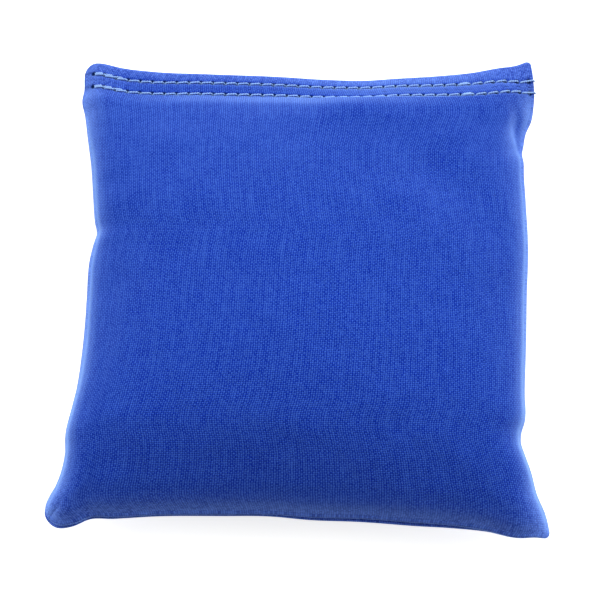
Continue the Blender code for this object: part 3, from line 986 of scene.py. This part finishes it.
def fold_rubbing_and_sheen(n, place, scene, chance):
    """Mask of rubbing and painted sheen on the folds: strong on them, 0 away from them, uneven between
    crossings.
    """
    x, y = n.split(place)
    finish = scene.bean_bag_finish
    fold = scene.bean_bag.side / 2
    aside = n.absolute(n.minus(x, MIDDLE))
    up = n.minus(y, MIDDLE)
    down = n.minus(MIDDLE, y)
    reached = 0.0
    for off_middle, width in (
        (aside, finish.rubbing_and_sheen_width), (down, finish.foot_rubbing_and_sheen_width), (up, finish.hem_rubbing_and_sheen_width),
    ):
        inside = n.minus(n.times(off_middle, CLOTH_MAP_SPAN), fold - width)
        reached = n.larger(n.over(inside, width, clamp=True), reached)
    off_both = n.times(n.plus(aside, n.larger(up, down)), CLOTH_MAP_SPAN)
    in_corner = n.minus(off_both, 2 * fold - finish.corner_rubbing_and_sheen_width)
    reached = n.larger(n.over(in_corner, finish.corner_rubbing_and_sheen_width, clamp=True), reached)
    return n.times(n.math("POWER", reached, RUB_AND_SHEEN_POWER), n.plus(n.times(chance, CHANCE_RUB_AND_SHEEN), LEAST_RUB_AND_SHEEN))


def stitch_shade(n):
    """Mask of painted shade: 1 in the needle holes of the nearest row, less along the row, 0 away from it.
    """
    along, off_row = n.split(n.add("ShaderNodeUVMap", uv_map="rows").outputs[0])
    from_hole = n.minus(n.math("FRACT", n.plus(along, MIDDLE)), MIDDLE)
    distance = n.math("SQRT", n.plus(n.math("POWER", from_hole, 2), n.math("POWER", off_row, 2)))
    hole = n.minus(1, n.over(distance, HOLE_REACH), clamp=True)
    groove = n.minus(1, n.over(n.absolute(off_row), HOLE_REACH), clamp=True)
    return n.larger(n.times(hole, HOLE_SHADE, clamp=True), n.times(groove, GROOVE_SHADE))


def start_material(name):
    made = bpy.data.materials.new(name)
    made.use_nodes = True
    return made, Nodes(made.node_tree), made.node_tree.nodes["Principled BSDF"]


def add_sheen(shader, finish):
    """Sheen of spun fibres, the same all over."""
    shader.inputs["Sheen Weight"].default_value = finish.sheen
    shader.inputs["Sheen Roughness"].default_value = finish.sheen_roughness
    shader.inputs["Sheen Tint"].default_value = (*finish.sheen_tint, 1)


def canvas_material(scene):
    """Blue plain-woven canvas: painted shade between yarns, painted highlight on crowns, painted sheen edge
    on.
    """
    finish = scene.bean_bag_finish
    made, n, shader = start_material("blue canvas")
    place = n.add("ShaderNodeUVMap", uv_map="cloth").outputs[0]
    weave = n.add("ShaderNodeGroup", node_tree=plain_weave_group())
    n.put(weave.inputs["Cloth Place"], place)
    n.put(weave.inputs["Warp Count"], CLOTH_MAP_SPAN / finish.warp_pitch)
    n.put(weave.inputs["Weft Count"], CLOTH_MAP_SPAN / finish.weft_pitch)

    # Painted highlight on the yarns' crowns and painted shade between them, by ribs and crossings; slubs
    # add random tone.
    crossing = n.times(weave.outputs["Checker"], finish.weave_contrast / 2)
    slub = n.minus(weave.outputs["Slub"], MIDDLE)
    pale = n.plus(n.plus(crossing, slub), MIDDLE, clamp=True)
    canvas = n.mix(pale, (*finish.shaded_gap_canvas, 1), (*finish.highlit_crown_canvas, 1))
    # Painted sheen: a paler blue added to the colour where the canvas is seen edge on.
    edge_on = n.math("POWER", n.add("ShaderNodeLayerWeight").outputs["Facing"], finish.painted_sheen_falloff)
    with_painted_sheen = n.mix(edge_on, canvas, (*finish.painted_sheen, 1), "ADD")
    # Pale of rubbing on the folds, and painted sheen where the foot, the mouth's fold and the corners turn
    # edge on.
    rubbed_and_sheened = n.mix(fold_rubbing_and_sheen(n, place, scene, weave.outputs["Chance"]), with_painted_sheen, (*finish.rubbing_and_sheen, 1), "ADD")
    # Painted shade darkens the needle holes and the rows' grooves.
    n.put(shader.inputs["Base Color"], n.mix(stitch_shade(n), rubbed_and_sheened, (*finish.painted_stitch_shade, 1)))
    shader.inputs["Roughness"].default_value = finish.roughness
    shader.inputs["Specular IOR Level"].default_value = finish.specular
    add_sheen(shader, finish)
    bump = n.add("ShaderNodeBump")
    bump.inputs["Distance"].default_value = finish.weave_relief
    n.put(bump.inputs["Height"], weave.outputs["Height"])
    n.put(shader.inputs["Normal"], bump.outputs[0])
    return made


def thread_material(scene):
    """Light blue spun thread, a little uneven along its length."""
    finish = scene.bean_bag_finish
    made, n, shader = start_material("light blue thread")
    uneven = n.noise(n.add("ShaderNodeTexCoord").outputs["Object"], THREAD_NOISE)
    spun = n.mix(uneven, (*finish.thread_shade, 1), (*finish.thread, 1))
    n.put(shader.inputs["Base Color"], spun)
    shader.inputs["Roughness"].default_value = finish.thread_roughness
    shader.inputs["Specular IOR Level"].default_value = finish.thread_specular
    add_sheen(shader, finish)
    return made


def pellet_material(scene):
    """Cream plastic pellets, slightly different from one to the next."""
    finish = scene.bean_bag_finish
    made, n, shader = start_material("cream pellets")
    batch = n.noise(n.add("ShaderNodeTexCoord").outputs["Object"], PELLET_NOISE)
    n.put(shader.inputs["Base Color"], n.mix(batch, (*finish.pellet_shade, 1), (*finish.pellet, 1)))
    n.put(shader.inputs["Roughness"], n.plus(n.times(batch, MORE_PELLET_ROUGHNESS), LEAST_PELLET_ROUGHNESS))
    return made


def floor_material():
    """White floor. Its glow shows to the camera alone, and is weaker by the bag, where the shadow is."""
    made, n, shader = start_material("white floor")
    shader.inputs["Base Color"].default_value = FLOOR_COLOUR
    shader.inputs["Roughness"].default_value = 1
    shader.inputs["Specular IOR Level"].default_value = 0
    shader.inputs["Emission Color"].default_value = FLOOR_GLOW_COLOUR
    distance = n.add("ShaderNodeVectorMath", operation="LENGTH")
    n.put(distance.inputs[0], n.add("ShaderNodeTexCoord").outputs["Object"])
    glow = n.plus(n.times(distance.outputs["Value"], GLOW_PER_METRE), GLOW_BY_BAG)
    for_camera = n.add("ShaderNodeLightPath").outputs["Is Camera Ray"]
    n.put(shader.inputs["Emission Strength"], n.times(for_camera, n.math("MINIMUM", glow, 1)))
    made.cycles.emission_sampling = "NONE"
    return made


def material_once(name, make, scene):
    """The material of that name, made the first time it is asked for."""
    return bpy.data.materials.get(name) or make(scene)


def add_surroundings(scene):
    """White all round for the camera, and a soft light from all round for the bag."""
    world = bpy.data.worlds.new("white surroundings")
    scene.world = world
    world.use_nodes = True
    n = Nodes(world.node_tree)
    background = world.node_tree.nodes["Background"]
    background.inputs["Color"].default_value = (1, 1, 1, 1)
    for_camera = n.add("ShaderNodeLightPath").outputs["Is Camera Ray"]
    n.put(background.inputs["Strength"], n.larger(for_camera, WORLD_LIGHT))


def aim(thing, target):
    """Turns a lamp or the camera towards a place."""
    thing.rotation_euler = (Vector(target) - thing.location).to_track_quat("-Z", "Y").to_euler()


def add_lamps():
    for name, place, power in LAMPS:
        bpy.ops.object.light_add(type="AREA", location=place)
        lamp = bpy.context.active_object
        lamp.name = name
        lamp.data.energy = power
        lamp.data.size = LAMP_SIZE
        aim(lamp, (0, 0, 0))


def add_camera(scene):
    bpy.ops.object.camera_add(location=CAMERA_PLACE)
    camera = bpy.context.active_object
    camera.data.sensor_width = CAMERA_SENSOR
    camera.data.lens = CAMERA_LENS
    camera.data.clip_start = CAMERA_CLIP
    aim(camera, CAMERA_TARGET)
    scene.camera = camera


class BAG_OT_panels(bpy.types.Operator):
    """Build the front and the back panel of canvas, edges turned in"""

    bl_idname = "beanbag.panels"
    bl_label = "Canvas Panels"

    def execute(self, context):
        shape = Shape(context.scene)
        for name, node, facing in (("front_canvas", "front_panel", 1), ("back_canvas", "back_panel", -1)):
            panel = build_panel(name, shape, facing)
            panel.data.materials.append(material_once("blue canvas", canvas_material, context.scene))
            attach(panel, "root")
            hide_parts(node)
        return {"FINISHED"}


class BAG_OT_hem_stitches(bpy.types.Operator):
    """Sew the two rows that close the mouth: needle thread on the front, bobbin thread on the back"""

    bl_idname = "beanbag.hem_stitches"
    bl_label = "Hem Stitches"

    def execute(self, context):
        shape = Shape(context.scene)
        for row, row_name in enumerate(("outer", "inner")):
            for kind, facing in (("needle", 1), ("bobbin", -1)):
                line, upward = row_of_stitches(shape, facing, row)
                name = f"{row_name}_row_{kind}_stitches"
                thread = two_ply(name, line, upward, shape.stitch.thread, shape.stitch.lay)
                material = material_once("light blue thread", thread_material, context.scene)
                thread.data.materials.append(material)
                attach(thread, "root")
                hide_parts(f"mouth_{row_name}_row_{kind}_thread")
        return {"FINISHED"}


class BAG_OT_side_seam(bpy.types.Operator):
    """Sew the seam that joins the two panels' turned-in edges on the left, the foot and the right"""

    bl_idname = "beanbag.side_seam"
    bl_label = "Side Seam"

    def execute(self, context):
        shape = Shape(context.scene)
        for kind, facing in (("needle", 1), ("bobbin", -1)):
            line, upward = seam_of_stitches(shape, facing)
            name = f"side_seam_{kind}_stitches"
            thread = two_ply(name, line, upward, shape.stitch.seam_thread, shape.stitch.lay)
            material = material_once("light blue thread", thread_material, context.scene)
            thread.data.materials.append(material)
            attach(thread, "root")
            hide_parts(f"side_seam_{kind}_thread")
        return {"FINISHED"}


class BAG_OT_pellets(bpy.types.Operator):
    """Fill the bag with loose pellets"""

    bl_idname = "beanbag.pellets"
    bl_label = "Pellets"

    def execute(self, context):
        heap = build_pellets("loose_pellets", Shape(context.scene), context.scene.bean_bag_pellets)
        heap.data.materials.append(material_once("cream pellets", pellet_material, context.scene))
        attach(heap, "root")
        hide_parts("fill")
        return {"FINISHED"}


class BAG_OT_stage(bpy.types.Operator):
    """Set up the white floor, the soft light and the camera"""

    bl_idname = "beanbag.stage"
    bl_label = "Stage"

    def execute(self, context):
        context.scene.view_settings.view_transform = "Standard"
        bpy.ops.mesh.primitive_plane_add(size=FLOOR_SIZE, location=(0, 0, 0))
        floor = context.active_object
        floor.name = "white_floor"
        floor.data.materials.append(floor_material())
        add_surroundings(context.scene)
        add_lamps()
        add_camera(context.scene)
        return {"FINISHED"}


class BAG_PT_sidebar(bpy.types.Panel):
    """Sizes and building steps of the bean bag"""

    bl_label = "Toss Bean Bag"
    bl_space_type = "VIEW_3D"
    bl_region_type = "UI"
    bl_category = "Bean Bag"

    def draw(self, context):
        for group in GROUPS:
            owner = getattr(context.scene, group)
            box = self.layout.box()
            for name in owner.__annotations__:
                box.prop(owner, name)
        for step in STEPS:
            self.layout.operator(step.bl_idname)


STEPS = (BAG_OT_panels, BAG_OT_hem_stitches, BAG_OT_side_seam, BAG_OT_pellets, BAG_OT_stage)
GROUPS = {
    "bean_bag": BagSizes,
    "bean_bag_cloth": ClothSizes,
    "bean_bag_stitches": StitchSizes,
    "bean_bag_pellets": PelletSizes,
    "bean_bag_finish": Finish,
}


def register():
    for made in (*GROUPS.values(), *STEPS, BAG_PT_sidebar):
        bpy.utils.register_class(made)
    for name, group in GROUPS.items():
        setattr(bpy.types.Scene, name, PointerProperty(type=group))


def unregister():
    for name in GROUPS:
        delattr(bpy.types.Scene, name)
    for made in (BAG_PT_sidebar, *reversed(STEPS), *reversed(GROUPS.values())):
        bpy.utils.unregister_class(made)


def main():
    register()
    bpy.ops.beanbag.panels()
    bpy.ops.beanbag.hem_stitches()
    bpy.ops.beanbag.side_seam()
    bpy.ops.beanbag.pellets()
    bpy.ops.beanbag.stage()


if __name__ == "__main__":
    main()
